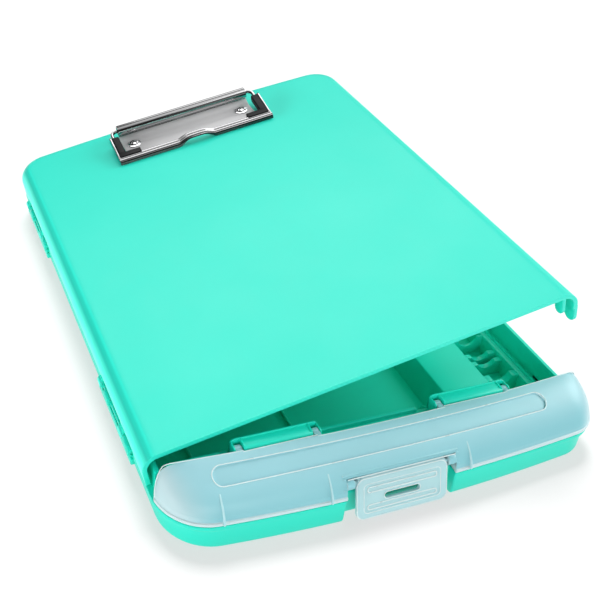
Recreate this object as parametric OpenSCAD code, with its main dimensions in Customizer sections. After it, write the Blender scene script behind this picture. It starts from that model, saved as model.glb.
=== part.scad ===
// Storage clipboard box: a shallow moulded tray with a hinged writing
// cover, a small frosted lid over the pen compartment at the front, a
// swinging latch and a sprung paper clip. All sizes are millimetres.
// +X is to the right, +Y to the rear, +Z up; the origin is the middle of
// the flat underside of the tray, on the centre line of the latch.

/* [Box] */
// Overall width at the seam
box_w = 250; // [247:0.5:253]
// Overall length, front edge to rear edge on the centre line
box_l = 349; // [344:1:352]
// How far the front edge bows forward at its middle
front_bow = 7; // [4:0.5:9]
// How far the rear edge bows backward at its middle
rear_bow = 4; // [3:0.5:8]
// Height of the seam between tray and cover
seam_z = 16; // [15:0.5:17]
// Wall thickness of the mouldings
wall = 2.4; // [2:0.1:2.6]
// Top of the inner wall that stands inside the closed cover
inner_top = 27.8; // [26:0.2:28.4]

/* [Cover] */
// Top of the closed cover
cover_top = 34.4; // [34:0.1:34.8]
// Radius of the rolled cover edges
cover_roll = 9; // [8:0.5:10]
// How far the cover stands open at rest, in degrees
cover_open = 12.8; // [0:0.2:20]
// Front edge of the cover
cover_front_y = -134; // [-134.5:0.5:-133]

/* [Compartment lid] */
// Top of the lid at its rear edge
lid_top = 36; // [35.6:0.1:36.2]
// Rear edge of the lid on the centre line
lid_rear_y = -145; // [-146:0.5:-144.5]
// Length of the shallow groove in the lid
groove_l = 190; // [160:1:195]

/* [Latch] */
// Width of the latch plate
latch_w = 52; // [46:1:52]
// Lean of the closed latch plate, in degrees
latch_lean = 18.5; // [16:0.5:20]

/* [Clip] */
// Length of the press bar
jaw_l = 114; // [110:1:116]
// Length of the rolled tube
tube_l = 98; // [94:1:99]
// Distance between the two rivets
rivet_span = 82; // [76:1:84]

/* [Hidden] */
// the seam outline reaches a little further to the right than to the left
hl = box_w / 2 - 3.9;
hr = box_w / 2 + 4;
// right side of the cover and of the inner wall
cr = box_w / 2 - 0.6;
yf = -172.5;
yr = yf + box_l;
run_gap = 0.3;
shelf_gap = 0.3;
step_in = 3.2;
// cover hinge line, along Y, on the edge of the seam
hx = -hl;
hz = seam_z;
knuckle_r = 2.6;
pin_r = 1.1;
hinge_y = [-111, 82];
// lid hinge line, along X
lid_hy = -139.5;
lid_hz = 33;
tower_x = [38, 75];
// latch hinge line, along X
lat_hy = -167.4;
lat_hz = 22.6;
notch_w = 62;
// clip: its middle across the cover, and its hinge line along X, in the
// closed cover's place
clip_x = 1.6;
clip_hy = 155;
clip_hz = cover_top + 8.2;
jaw_y = 125;

green = [0.16, 0.86, 0.74];
frost = [0.78, 0.9, 0.93, 0.6];
steel = [0.68, 0.68, 0.69];
chrome = [0.85, 0.85, 0.87];
black = [0.07, 0.07, 0.08];

// ---- outlines ----

// height of a bowed edge at x: e0 on the centre line, e1 more at half width w
function bow(x, w, e0, e1) = e0 + e1 * (x / w) * (x / w);

// one rounded corner that runs from a straight side into a bowed edge
function corner(w, e0, e1, r, s, n) =
    let (d = atan(2 * e1 * (w - r * 0.9) / (w * w)),
         xe = w - r + r * sin(abs(d)),
         ye = bow(xe, w, e0, e1),
         cx = w - r, cy = ye + s * r * cos(d))
    [for (i = [0:n]) let (a = (90 - abs(d)) * i / n)
        [cx + r * cos(a), cy - s * r * sin(a)]];

// outline inset by t, counter-clockwise from the front left; wl and wr are
// the reach to the left and right, rl, rf and rr the corner radii
function outline(t, wl = hl, wr = hr, y0 = yf, y1 = yr, rl = 28, rf = 20, rr = 20) =
    let (f0 = y0 + t, r0 = y1 - t,
         a = corner(wl - t, f0, front_bow, rl - t, 1, 8),
         b = corner(wr - t, f0, front_bow, rf - t, 1, 8),
         c = corner(wr - t, r0, -rear_bow, rr - t, -1, 8),
         d = corner(wl - t, r0, -rear_bow, rr - t, -1, 8),
         xa = a[8][0], xb = b[8][0], xc = c[8][0], xd = d[8][0])
    concat(
        [for (i = [0:8]) [-a[i][0], a[i][1]]],
        [for (i = [1:13]) let (x = -xa + (xa + xb) * i / 14) [x, bow(x, x < 0 ? wl - t : wr - t, f0, front_bow)]],
        [for (i = [8:-1:0]) b[i]],
        c,
        [for (i = [1:13]) let (x = xc - (xc + xd) * i / 14) [x, bow(x, x < 0 ? wl - t : wr - t, r0, -rear_bow)]],
        [for (i = [8:-1:0]) [-d[i][0], d[i][1]]]);

module slab(t, z0, z1, wl = hl, wr = hr) { translate([0, 0, z0]) linear_extrude(z1 - z0) polygon(outline(t, wl, wr)); }
module box(a, b) { translate(a) cube([b[0] - a[0], b[1] - a[1], b[2] - a[2]]); }
// a bar along X with a rounded profile
module x_rod(x0, x1, y, z, r) { translate([x0, y, z]) rotate([0, 90, 0]) cylinder(r = r, h = x1 - x0, $fn = 48); }
module y_rod(y0, y1, x, z, r) { translate([x, y0, z]) rotate([-90, 0, 0]) cylinder(r = r, h = y1 - y0, $fn = 48); }
// the cover and all it carries, from closed to the rest position
module at_rest() { translate([hx, 0, hz]) rotate([0, -cover_open, 0]) translate([-hx, 0, -hz]) children(); }
module at_clip() { at_rest() translate([clip_x, 0, 0]) children(); }

// ---- tray ----

// tower that holds the lid's stub pins
module lid_tower(s) {
    x0 = s > 0 ? tower_x[0] : -tower_x[1];
    x1 = s > 0 ? tower_x[1] : -tower_x[0];
    difference() {
        union() {
            x_rod(x0, x1, lid_hy, lid_hz, 3.6);
            box([x0, lid_hy - 3.6, 27], [x1, lid_hy + 3.6, lid_hz]);
        }
        x_rod(x0 - 1, x0 + 7, lid_hy, lid_hz, pin_r + 0.08);
        x_rod(x1 - 7, x1 + 1, lid_hy, lid_hz, pin_r + 0.08);
    }
}

// tray half of one cover hinge: solid barrels and the rib below them
module tray_knuckles(y0) {
    for (k = [[0, 12], [38.5, 48]]) y_rod(y0 + k[0], y0 + k[1], hx, hz, knuckle_r);
    box([-hl - 1.2, y0 - 1, hz - 7], [-hl + 3.5, y0 + 61, hz - 3.2]);
}
// room in the tray for the pin and the cover's barrels
module tray_hinge_cut(y0) {
    for (k = [[12, 38.5], [48, 60.4]]) y_rod(y0 + k[0], y0 + k[1], hx, hz, knuckle_r + 0.4);
    y_rod(y0 - 0.2, y0 + 61, hx, hz, pin_r + 0.06);
}

module base_tray() color(green) {
    difference() {
        union() {
            tray_knuckles(hinge_y[0]);
            tray_knuckles(hinge_y[1]);
            // floor and outer wall, set in from the seam at both sides
            slab(0, 0, 2.2, hl - 2.7, hr - 2.9);
            difference() {
                slab(0, 2, seam_z - 1, hl - 2.7, hr - 2.9);
                slab(wall, 1, seam_z, hl - 2.7, hr - 2.9);
            }
            // seam ledge
            difference() {
                slab(0, seam_z - 2.4, seam_z);
                slab(step_in + wall, seam_z - 3, seam_z + 1, hl, cr);
            }
            // inner wall
            difference() {
                slab(step_in, seam_z - 2.4, inner_top, hl, cr);
                slab(step_in + wall, seam_z - 3, inner_top + 1, hl, cr);
                box([-130, -200, 24], [130, -137.2, 60]);
                box([-130, -200, seam_z + 3], [130, -146.5, 60]);
                box([-36, -200, seam_z], [36, -158, 60]);
            }
            // recessed wall behind the latch
            box([-notch_w / 2 - 2.4, -166, 0], [notch_w / 2 + 2.4, -163.6, seam_z]);
            for (s = [-1, 1]) box([s > 0 ? notch_w / 2 : -notch_w / 2 - 2.4, -171, 0], [s > 0 ? notch_w / 2 + 2.4 : -notch_w / 2, -163.6, seam_z - 0.2]);
            // block round the finger recess at the right
            box([cr - step_in - wall, -140, 7.4], [hr - 4, -117, seam_z]);
        }
        // latch recess, open at the front
        box([-notch_w / 2, -190, -1], [notch_w / 2, -166, 40]);
        // finger recess for the cover's outer tongue
        box([cr - step_in, -136.5, 9.6], [hr + 3, -120.5, 30]);
        tray_hinge_cut(hinge_y[0]);
        tray_hinge_cut(hinge_y[1]);
    }
    // catch rib for the latch
    box([-20, -167.2, 7], [20, -166, 9]);
    // divider: rear wall of the pen compartment, shelf, front wall of the paper compartment
    difference() {
        union() {
            box([-115.5, -149.2, 2], [cr - 4.2, -147, 28]);
            box([-117.6, -149.2, 25.8], [cr - 4.2, -135, 28]);
            box([-117.6, -137.2, 2], [cr - 4.2, -135, 28]);
            box([100, -149.2, 2], [hr - 4.4, -147, 14]);
        }
        box([-130, -200, 24], [-112, -138, 60]);
        box([112, -200, 24], [130, -138, 60]);
        for (x = [-130, 112]) box([x, -200, seam_z + 3], [x + 18, -146, 60]);
    }
    lid_tower(1);
    lid_tower(-1);
    // gussets behind the towers
    for (x = [-79, -64, -38, 40, 74]) translate([x, 0, 0]) rotate([90, 0, 90])
        linear_extrude(1.6) polygon([[-135.2, 2], [-116, 2], [-122, 16], [-135.2, 25]]);
    // raised platform with the pen rests
    translate([0, 20, 0]) rotate([90, 0, 0]) linear_extrude(155.2)
        polygon([[52, 2], [60, 14], [91, 14], [91, 12], [64, 12], [56, 2]]);
    box([89, -135.2, 2], [91, 20, 14]);
    box([112, -135.2, 2], [114, 20, 14]);
    box([112, -135.2, 12], [cr - 4.2, 20, 14]);
    box([112, -117.5, 12], [hr - 4.4, 20, 14]);
    box([60, 18, 2], [hr - 4.4, 20, 14]);
    // cross walls of the pen rests, each with a round notch
    for (c = [[-113, -108, 13.6], [-97, -93.5, 12], [-90, -86.5, 12], [-76, -74, 14], [-30, -26, 13]])
        difference() {
            box([90, c[0], 2], [113, c[1], c[2]]);
            y_rod(c[0] - 1, c[1] + 1, 101.5, 15.5, 7);
        }
    // ribs on the floor of the paper compartment
    for (x = [-90, -30]) box([x, -135.2, 2], [x + 1.4, 160, 4]);
}

// ---- cover ----

// closed shell form through a stack of outlines, one inset and height each
module loft(t, z) {
    n = len(outline(0, hl, cr));
    k = len(t);
    polyhedron(
        points = [for (j = [0:k - 1]) for (p = outline(t[j], hl, cr)) [p[0], p[1], z[j]]],
        faces = concat(
            [[for (i = [0:n - 1]) i]],
            [[for (i = [n - 1:-1:0]) (k - 1) * n + i]],
            [for (j = [0:k - 2]) for (i = [0:n - 1]) [j * n + i, (j + 1) * n + i, j * n + (i + 1) % n]],
            [for (j = [0:k - 2]) for (i = [0:n - 1]) [j * n + (i + 1) % n, (j + 1) * n + i, (j + 1) * n + (i + 1) % n]]));
}

// rolled edge: straight skirt, then a quarter round up to the flat top
module cover_form(t, z0, zt, r) {
    a = [for (i = [0:6]) 15 * i];
    loft(concat([t], [for (q = a) t + (r - t) * (1 - cos(q))]),
         concat([z0], [for (q = a) zt - (r - t) * (1 - sin(q))]));
}

// cover half of one hinge: barrels, and room for the tray's barrels
module cover_knuckles(y0) {
    for (k = [[12.3, 20], [54, 60]]) y_rod(y0 + k[0], y0 + k[1], hx, hz, knuckle_r);
}
module cover_hinge_cut(y0) {
    for (k = [[-0.4, 12.3], [20, 54], [60, 60.6]]) y_rod(y0 + k[0], y0 + k[1], hx, hz, knuckle_r + 0.4);
    y_rod(y0 - 0.2, y0 + 60.8, hx, hz, pin_r + 0.06);
}

// rounded tongue hanging from the right edge
module tongue(x0, x1, y0, y1, z0, z1) {
    r = (y1 - y0) / 2;
    translate([x0, (y0 + y1) / 2, z0 + r]) rotate([0, 90, 0]) cylinder(r = r, h = x1 - x0, $fn = 48);
    box([x0, y0, z0 + r], [x1, y1, z1]);
}

module top_cover() color(green) at_rest() {
    difference() {
        union() {
            difference() {
                cover_form(0, seam_z + 0.3, cover_top, cover_roll);
                cover_form(wall, seam_z - 2, cover_top - wall, cover_roll);
                box([-200, -250, -5], [200, cover_front_y, 60]);
                // the right edge stops short of the seam
                box([cr - 14, -250, -5], [cr + 10, 140, 22]);
                for (s = [-1, 1]) translate([clip_x + s * rivet_span / 2, 144, 20]) cylinder(r = 2.05, h = 30, $fn = 48);
            }
            for (y = hinge_y) cover_knuckles(y);
        }
        for (y = hinge_y) cover_hinge_cut(y);
    }
    tongue(cr - 1.7, cr + 0.7, -133.9, -125.5, 11.8, 24);
    tongue(cr - 9.7, cr - 7.5, -133.9, -127.3, 20.6, 33);
}

module hinge_pin(y0) {
    y_rod(y0 + 0.6, y0 + 59.4, hx, hz, pin_r);
}
module cover_hinge_pin_front() color(green) hinge_pin(hinge_y[0]);
module cover_hinge_pin_rear() color(green) hinge_pin(hinge_y[1]);

// ---- compartment lid ----

// domed lid form, inset by t all over: a deep roll at the front, a
// tighter one at the ends
module lid_form(t) {
    n = 7;
    z0 = seam_z + shelf_gap;
    hull() for (i = [0:n]) let (a = 90 * i / n, f = (27 - t) * (1 - cos(a)), e = (8 - t * 0.5) * (1 - cos(a)), z = z0 + (lid_top - t - z0) * sin(a))
        translate([0, 0, z - (i == 0 ? 0 : 0.06)]) linear_extrude(0.06) intersection() {
            polygon(outline(t + e, hl - 0.2, hr + 0.8, yf + f - e, yr));
            translate([-150, -200]) square([300, 66]);
        }
}
// rear limit of the lid, bowed forward in the middle, with rounded rear corners
module lid_plan(t) {
    wl = hl - 0.2 - t;
    wr = hr + 0.8 - t;
    polygon(concat(
        [[-wl, -190], [wr, -190]],
        [for (i = [0:6]) let (a = 15 * i) [wr - 4 + 4 * cos(a), -143.5 + 4 * sin(a) - t]],
        [for (i = [1:15]) let (x = wr - 4 - (wr + wl - 10) * i / 16) [x, bow(x, 123, lid_rear_y, 5.4) - t]],
        [for (i = [6:-1:0]) let (a = 15 * i) [-wl + 6 - 6 * cos(a), -145.8 + 6 * sin(a) - t]]));
}
// bowed outline of the groove in the top
module groove_plan() {
    g = groove_l / 2 - 4.7;
    function gy(x) = bow(x, 123, -155.3, 4.5);
    polygon(concat(
        [for (i = [0:12]) let (x = -g + g * i / 6) [x, gy(x) - 4.7]],
        [for (i = [1:7]) let (a = -90 + 22.5 * i) [g + 4.7 * cos(a), gy(g) + 4.7 * sin(a)]],
        [for (i = [12:-1:0]) let (x = -g + g * i / 6) [x, gy(x) + 4.7]],
        [for (i = [1:7]) let (a = 90 + 22.5 * i) [-g + 4.7 * cos(a), gy(g) + 4.7 * sin(a)]]));
}

// point of the lid's front profile at angle a, pushed out by d
function lid_edge(a, d) = [yf + (27 + d) * (1 - cos(a)) - d, seam_z + shelf_gap + (lid_top - seam_z - shelf_gap + d) * sin(a)];

// upright fin on the lid's front, thin at the top
module lid_fin(x) {
    a = [for (i = [0:6]) 6 + 8 * i];
    translate([x - 0.7, bow(x, 122, 0, front_bow), 0]) rotate([90, 0, 90]) linear_extrude(1.4)
        polygon(concat([for (i = [0:6]) lid_edge(a[i], 1.3 * (1 - i / 6))],
                       [for (i = [6:-1:0]) lid_edge(a[i], -1)]));
}

// barrel and stub pin beside a hinge tower; d is the side the pin points to
module lid_knuckle(x, d) {
    x_rod(min(x, x - 3.4 * d), max(x, x - 3.4 * d), lid_hy, lid_hz, 2.5);
    box([min(x, x - 3.4 * d), -146, lid_hz - 1.4], [max(x, x - 3.4 * d), lid_hy, lid_hz + 2.2]);
    x_rod(min(x - d, x + 6 * d), max(x - d, x + 6 * d), lid_hy, lid_hz, pin_r);
}

module compartment_lid() color(frost) {
    n2 = notch_w / 2;
    difference() {
        intersection() {
            lid_form(0);
            linear_extrude(60) lid_plan(0);
        }
        // inside; the rear flange stops above the shelf
        intersection() {
            union() {
                lid_form(1.8);
                slab(1.8, 10, seam_z + 0.6, hl - 0.2, hr + 0.8);
            }
            union() {
                linear_extrude(60) lid_plan(1.8);
                box([-200, -156, 0], [200, -130, 28.4]);
            }
        }
        // notches round the hinge towers
        for (s = [-1, 1]) box([s > 0 ? tower_x[0] - 0.6 : -tower_x[1] - 0.6, lid_hy - 4.1, 20], [s > 0 ? tower_x[1] + 0.6 : -tower_x[0] + 0.6, -130, 60]);
        // notch for the latch
        box([-n2, -200, 10], [n2, -163.2, 26.3]);
        // shallow groove in the top, its floor parallel to the surface
        difference() {
            translate([0, 0, 25]) linear_extrude(20) groove_plan();
            translate([0, 0, -0.9]) lid_form(0);
        }
    }
    // pocket walls behind and over the latch
    box([-n2 - 1.8, -163.2, seam_z + 0.5], [n2 + 1.8, -161.4, 27.9]);
    box([-n2 - 1.8, -166.6, 26.3], [n2 + 1.8, -161.4, 27.9]);
    for (s = [-1, 1]) box([s > 0 ? n2 : -n2 - 1.8, -170.6, seam_z + 0.5], [s > 0 ? n2 + 1.8 : -n2, -161.4, 22]);
    for (s = [-1, 1]) box([s > 0 ? n2 : -n2 - 1.8, -167.6, seam_z + 0.5], [s > 0 ? n2 + 1.8 : -n2, -161.4, 26.6]);
    // ears that carry the latch
    for (s = [-1, 1]) difference() {
        union() {
            x_rod(s > 0 ? latch_w / 2 + 0.7 : -n2 - 0.1, s > 0 ? n2 + 0.1 : -latch_w / 2 - 0.7, lat_hy, lat_hz, 2.8);
            box([s > 0 ? latch_w / 2 + 0.7 : -n2 - 0.1, lat_hy - 2, lat_hz], [s > 0 ? n2 + 0.1 : -latch_w / 2 - 0.7, -162.8, 26.7]);
        }
        x_rod(s > 0 ? latch_w / 2 : -n2 + 0.4, s > 0 ? n2 - 0.4 : -latch_w / 2, lat_hy, lat_hz, pin_r + 0.06);
    }
    for (x = [-94, -39.5, 39.5]) lid_fin(x);
    for (s = [-1, 1]) {
        lid_knuckle(s > 0 ? tower_x[0] - 0.6 : -tower_x[1] - 0.6, 1);
        lid_knuckle(s > 0 ? tower_x[1] + 0.6 : -tower_x[0] + 0.6, -1);
    }
}

// ---- latch ----

// rounded rectangle in the XZ plane, standing on y0 with thickness t
module rrect(w, z0, z1, r, y0, t) {
    translate([0, y0 + t, 0]) rotate([90, 0, 0]) linear_extrude(t) {
        translate([-w / 2 + r, z0]) square([w - 2 * r, z1 - z0]);
        translate([-w / 2, z0 + r]) square([w, z1 - z0 - 2 * r]);
        for (x = [-w / 2 + r, w / 2 - r], z = [z0 + r, z1 - r]) translate([x, z]) circle(r = r, $fn = 48);
    }
}

module lid_latch() color(frost) translate([0, lat_hy, lat_hz]) rotate([-latch_lean, 0, 0]) {
    difference() {
        rrect(latch_w, -20.4, 2.6, 4.6, -2.3, 2.2);
        rrect(latch_w - 9, -16.8, -1.6, 2, -3.3, 1.5);
        rrect(20, -11.5, -8.3, 1.59, -4.1, 6);
    }
    // ridges in the inset panel, above and below the slot
    for (z = [-3.6, -6, -13.2, -15.3]) box([-20, -2.3, z - 0.45], [20, -1.5, z + 0.45]);
    // barrel, stub pins and catch lip
    x_rod(-latch_w / 2 + 1, latch_w / 2 - 1, 0, 0, 2.2);
    x_rod(-n2_pin(), n2_pin(), 0, 0, pin_r);
    box([-18, -0.3, -17.6], [18, 3.5, -16.2]);
}
function n2_pin() = notch_w / 2 - 0.8;

// ---- paper clip, drawn in the closed cover's place ----

module clip_tube_form() { x_rod(-tube_l / 2, tube_l / 2, clip_hy, clip_hz, 3.8); }

module clip_base_plate() color(steel) at_clip() difference() {
    union() {
        box([-50, 130.5, cover_top], [50, 148, cover_top + 1]);
        translate([-tube_l / 2, 0, cover_top]) rotate([90, 0, 90]) linear_extrude(tube_l)
            polygon([[146, 0], [150, 0.2], [153.2, 1.9], [155.6, 4.7], [154.2, 5.6], [152.2, 3.3], [150.2, 1.6], [148.8, 1], [146, 1]]);
        clip_tube_form();
    }
    x_rod(-tube_l / 2 - 1, tube_l / 2 + 1, clip_hy, clip_hz, 1.35);
    for (s = [-1, 1]) translate([s * rivet_span / 2, 144, cover_top - 1]) cylinder(r = 2.05, h = 3, $fn = 48);
}

module wire_form(r) {
    x_rod(-53.4, 53.4, clip_hy, clip_hz, r);
    for (s = [-1, 1]) translate([s * 53.4, clip_hy, clip_hz]) {
        sphere(r = r, $fn = 32);
        rotate([101, 0, 0]) cylinder(r = r, h = 22, $fn = 32);
    }
}
module clip_spring_wire() color(chrome) at_clip() wire_form(1.25);

module jaw_form() {
    z = cover_top;
    difference() {
        translate([-jaw_l / 2, 0, z]) rotate([90, 0, 90]) linear_extrude(jaw_l)
            polygon([[121.6, 0.4], [122.8, 0.4], [123.1, 3.3], [127.9, 3.9], [128.2, 2.2], [129.4, 2.3], [129, 5.2], [128.2, 5.6], [123.2, 5], [121.9, 3.6]]);
        box([-13, 120, z - 1], [13, 131, z + 20]);
    }
    // arched thumb lift
    translate([0, 129, z + 7.2 - 26]) rotate([90, 0, 0]) intersection() {
        difference() { cylinder(r = 26, h = 7, $fn = 96); translate([0, 0, -1]) cylinder(r = 24.7, h = 9, $fn = 96); }
        translate([-13.8, 20, -1]) cube([27.6, 20, 10]);
    }
    // short side walls
    for (s = [-1, 1]) translate([s > 0 ? jaw_l / 2 - 1.2 : -jaw_l / 2, 0, z]) rotate([90, 0, 90]) linear_extrude(1.2)
        polygon([[121.9, 0.4], [146, 3], [150, 5.6], [146, 9.2], [128, 5.6], [122.2, 4.4]]);
}
module clip_jaw() color(chrome) at_clip() jaw_form();

module grip(s) {
    z = cover_top;
    a = jaw_l / 2 - 1.25;
    difference() {
        union() {
            translate([s > 0 ? a - 6.2 : -a, 0, z]) rotate([90, 0, 90]) linear_extrude(6.2)
                polygon([[129.5, 1.2], [147, 3.9], [147, 9.3], [129.5, 6.6]]);
            box([s > 0 ? a - 18 : -a, 123.4, z + 5.65], [s > 0 ? a : -a + 18, 129.8, z + 6.6]);
            box([s > 0 ? a - 18 : -a, 129.45, z + 1.2], [s > 0 ? a : -a + 18, 131.2, z + 6.6]);
        }
        wire_form(1.3);
    }
}
module clip_corner_grip_left() color(black) at_clip() grip(-1);
module clip_corner_grip_right() color(black) at_clip() grip(1);

module clip_rivets() color(steel) at_clip() for (s = [-1, 1]) translate([s * rivet_span / 2, 144, cover_top]) rotate_extrude($fn = 48)
    polygon([[0, -wall - 1.8], [3, -wall - 1.8], [3.2, -wall - 1.03], [2, -wall - 1.03], [2, 1.03], [4.6, 1.03], [4.5, 1.7], [3.6, 2.3], [2, 2.7], [0, 2.8]]);
module clip_rivet_washers() color(steel) at_clip() for (s = [-1, 1]) translate([s * rivet_span / 2, 144, cover_top - wall - 1.02])
    difference() { cylinder(r = 4.8, h = 1, $fn = 48); translate([0, 0, -1]) cylinder(r = 2.05, h = 3, $fn = 48); }

base_tray();
top_cover();
cover_hinge_pin_front();
cover_hinge_pin_rear();
compartment_lid();
lid_latch();
clip_base_plate();
clip_spring_wire();
clip_jaw();
clip_corner_grip_left();
clip_corner_grip_right();
clip_rivets();
clip_rivet_washers();
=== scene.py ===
import math

import bmesh
import bpy
import numpy as np
from mathutils import Matrix, Vector


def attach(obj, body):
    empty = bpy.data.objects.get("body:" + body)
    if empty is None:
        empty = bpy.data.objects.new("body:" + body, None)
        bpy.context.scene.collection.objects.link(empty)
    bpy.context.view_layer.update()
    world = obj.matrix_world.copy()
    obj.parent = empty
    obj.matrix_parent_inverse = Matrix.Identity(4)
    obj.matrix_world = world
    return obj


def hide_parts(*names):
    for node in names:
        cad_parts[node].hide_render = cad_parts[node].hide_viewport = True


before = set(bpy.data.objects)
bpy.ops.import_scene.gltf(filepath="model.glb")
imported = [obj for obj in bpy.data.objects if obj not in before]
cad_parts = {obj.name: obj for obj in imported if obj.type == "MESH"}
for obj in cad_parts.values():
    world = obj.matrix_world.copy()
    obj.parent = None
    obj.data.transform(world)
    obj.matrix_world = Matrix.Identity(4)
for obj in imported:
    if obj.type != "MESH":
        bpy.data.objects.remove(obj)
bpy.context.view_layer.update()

SC = bpy.context.scene
MM = 0.001

# ------------------------------------------------------------------ sizes, mm
BOX_W, BOX_L = 250.0, 349.0
BOW_F, BOW_R = 7.0, 4.0
SEAM, WALL, RIM_Z, STEP = 16.0, 2.4, 27.8, 3.2
TOP, ROLL, OPEN = 34.4, 9.0, math.radians(12.8)
COV_Y = -134.0
LID_TOP, LID_RY = 36.0, -145.0
LEAN = math.radians(18.5)
HL, HR, CR = BOX_W / 2 - 3.9, BOX_W / 2 + 4, BOX_W / 2 - 0.6
YF, YR = -172.5, BOX_L - 172.5
HX, HZ = -HL, SEAM
KR, PR = 2.6, 1.1
HINGE_Y = (-111.0, 82.0)
LHY, LHZ = -139.5, 33.0
AHY, AHZ = -167.4, 22.6
NOTCH = 31.0
CHY, CHZ = 155.0, TOP + 8.2

CLOSED = Matrix.Identity(4)
REST = (Matrix.Translation((HX * MM, 0, HZ * MM)) @ Matrix.Rotation(-OPEN, 4, "Y")
        @ Matrix.Translation((-HX * MM, 0, -HZ * MM)))
CLIP = REST @ Matrix.Translation((1.6 * MM, 0, 0))


# ------------------------------------------------------------------ mesh tools
def make(name, verts, faces, at=CLOSED, sharp=38):
    """A piece from points in mm and faces."""
    me = bpy.data.meshes.new(name)
    me.from_pydata([(x * MM, y * MM, z * MM) for x, y, z in verts], [], faces)
    me.validate()
    ob = bpy.data.objects.new(name, me)
    SC.collection.objects.link(ob)
    bm = bmesh.new()
    bm.from_mesh(me)
    bmesh.ops.remove_doubles(bm, verts=bm.verts, dist=1e-6)
    bmesh.ops.recalc_face_normals(bm, faces=bm.faces)
    bm.to_mesh(me)
    bm.free()
    me.transform(at)
    shade(ob, sharp)
    return ob


def shade(ob, sharp=38):
    me = ob.data
    me.polygons.foreach_set("use_smooth", [True] * len(me.polygons))
    me.set_sharp_from_angle(angle=math.radians(sharp))
    me.update()


def bake_mods(ob, sharp=38):
    dg = bpy.context.evaluated_depsgraph_get()
    me = bpy.data.meshes.new_from_object(ob.evaluated_get(dg))
    old = ob.data
    ob.modifiers.clear()
    ob.data = me
    me.name = ob.name
    bpy.data.meshes.remove(old)
    shade(ob, sharp)
    return ob


def bevel(ob, width, segments=2, angle=40, sharp=38):
    m = ob.modifiers.new("edges", "BEVEL")
    m.width, m.segments, m.limit_method = width * MM, segments, "ANGLE"
    m.angle_limit = math.radians(angle)
    m.use_clamp_overlap = True
    m.harden_normals = False
    return bake_mods(ob, sharp)


def solidify(ob, thick, sharp=38, even=True):
    m = ob.modifiers.new("wall", "SOLIDIFY")
    m.thickness, m.offset = thick * MM, -1
    m.use_even_offset = even
    m.use_quality_normals = True
    return bake_mods(ob, sharp)


def boolean(ob, cutter, op="DIFFERENCE", sharp=38):
    m = ob.modifiers.new("cut", "BOOLEAN")
    m.operation, m.object, m.solver = op, cutter, "EXACT"
    bake_mods(ob, sharp)
    bpy.data.objects.remove(cutter)
    return ob


def join(name, obs, sharp=38):
    """Joins pieces' meshes into one new piece of the given name, removing the pieces."""
    bm = bmesh.new()
    for o in obs:
        bm.from_mesh(o.data)
    first = obs[0]
    me = bpy.data.meshes.new(name)
    bm.to_mesh(me)
    bm.free()
    ob = bpy.data.objects.new(name, me)
    SC.collection.objects.link(ob)
    for o in obs:
        bpy.data.objects.remove(o)
    shade(ob, sharp)
    return ob


def loft(rings, cap0=True, cap1=True, closed=True):
    n = len(rings[0])
    verts = [p for r in rings for p in r]
    faces = []
    for j in range(len(rings) - 1):
        for i in range(n if closed else n - 1):
            k = (i + 1) % n
            faces.append((j * n + i, j * n + k, (j + 1) * n + k, (j + 1) * n + i))
    if cap0:
        faces.append(tuple(range(n))[::-1])
    if cap1:
        faces.append(tuple((len(rings) - 1) * n + i for i in range(n)))
    return verts, faces


def box(name, a, b, at=CLOSED):
    x0, y0, z0 = a
    x1, y1, z1 = b
    r = [(x0, y0), (x1, y0), (x1, y1), (x0, y1)]
    v, f = loft([[(x, y, z0) for x, y in r], [(x, y, z1) for x, y in r]])
    return make(name, v, f, at)


def prism(name, poly, axis, lo, hi, at=CLOSED, width=0.0, segments=2, angle=40):
    """A closed 2D outline drawn out along an axis. X: outline in (y, z). Y: (x, z). Z: (x, y)."""
    def p3(u, v, w):
        return {"X": (w, u, v), "Y": (u, w, v), "Z": (u, v, w)}[axis]
    v, f = loft([[p3(u, q, lo) for u, q in poly], [p3(u, q, hi) for u, q in poly]])
    ob = make(name, v, f, at)
    return bevel(ob, width, segments, angle) if width else ob


def lathe(name, prof, centre, axis, n=48, at=CLOSED, sharp=38):
    """A profile of (radius, height) turned round an axis through centre; radius 0 ends close it."""
    cx, cy, cz = centre
    rings = []
    for r, h in prof:
        ring = []
        for i in range(n):
            c, s = r * math.cos(2 * math.pi * i / n), r * math.sin(2 * math.pi * i / n)
            ring.append({"X": (cx + h, cy + c, cz + s), "Y": (cx + c, cy + h, cz + s), "Z": (cx + c, cy + s, cz + h)}[axis])
        rings.append(ring)
    same = prof[0] == prof[-1]
    v, f = loft(rings, cap0=not same and prof[0][0] > 0, cap1=not same and prof[-1][0] > 0)
    return make(name, v, f, at, sharp)


def rod(name, axis, lo, hi, centre, r, hole=0.0, edge=0.35, n=40, at=CLOSED):
    """A round bar or tube with rounded ends."""
    e = edge
    arc = [(r - e + e * math.cos(a), e - e * math.sin(a)) for a in (math.pi / 2, math.pi / 4, 0)]
    prof = [(q, lo + h) for q, h in arc] + [(q, hi - h) for q, h in arc[::-1]]
    prof = ([(hole, lo)] + prof + [(hole, hi), (hole, lo)]) if hole else [(0, lo)] + prof + [(0, hi)]
    return lathe(name, prof, centre, axis, n, at)


def sweep(name, path, r, n=16, at=CLOSED, sharp=60):
    """A round bar along a line of points."""
    P = [Vector(p) for p in path]
    rings, up = [], None
    for i, p in enumerate(P):
        t = (P[min(i + 1, len(P) - 1)] - P[max(i - 1, 0)]).normalized()
        if up is None:
            up = t.orthogonal().normalized()
        up = (up - t * up.dot(t)).normalized()
        side = t.cross(up)
        rings.append([tuple(p + (up * math.cos(2 * math.pi * k / n) + side * math.sin(2 * math.pi * k / n)) * r) for k in range(n)])
    v, f = loft(rings)
    return make(name, v, f, at, sharp)


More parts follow.
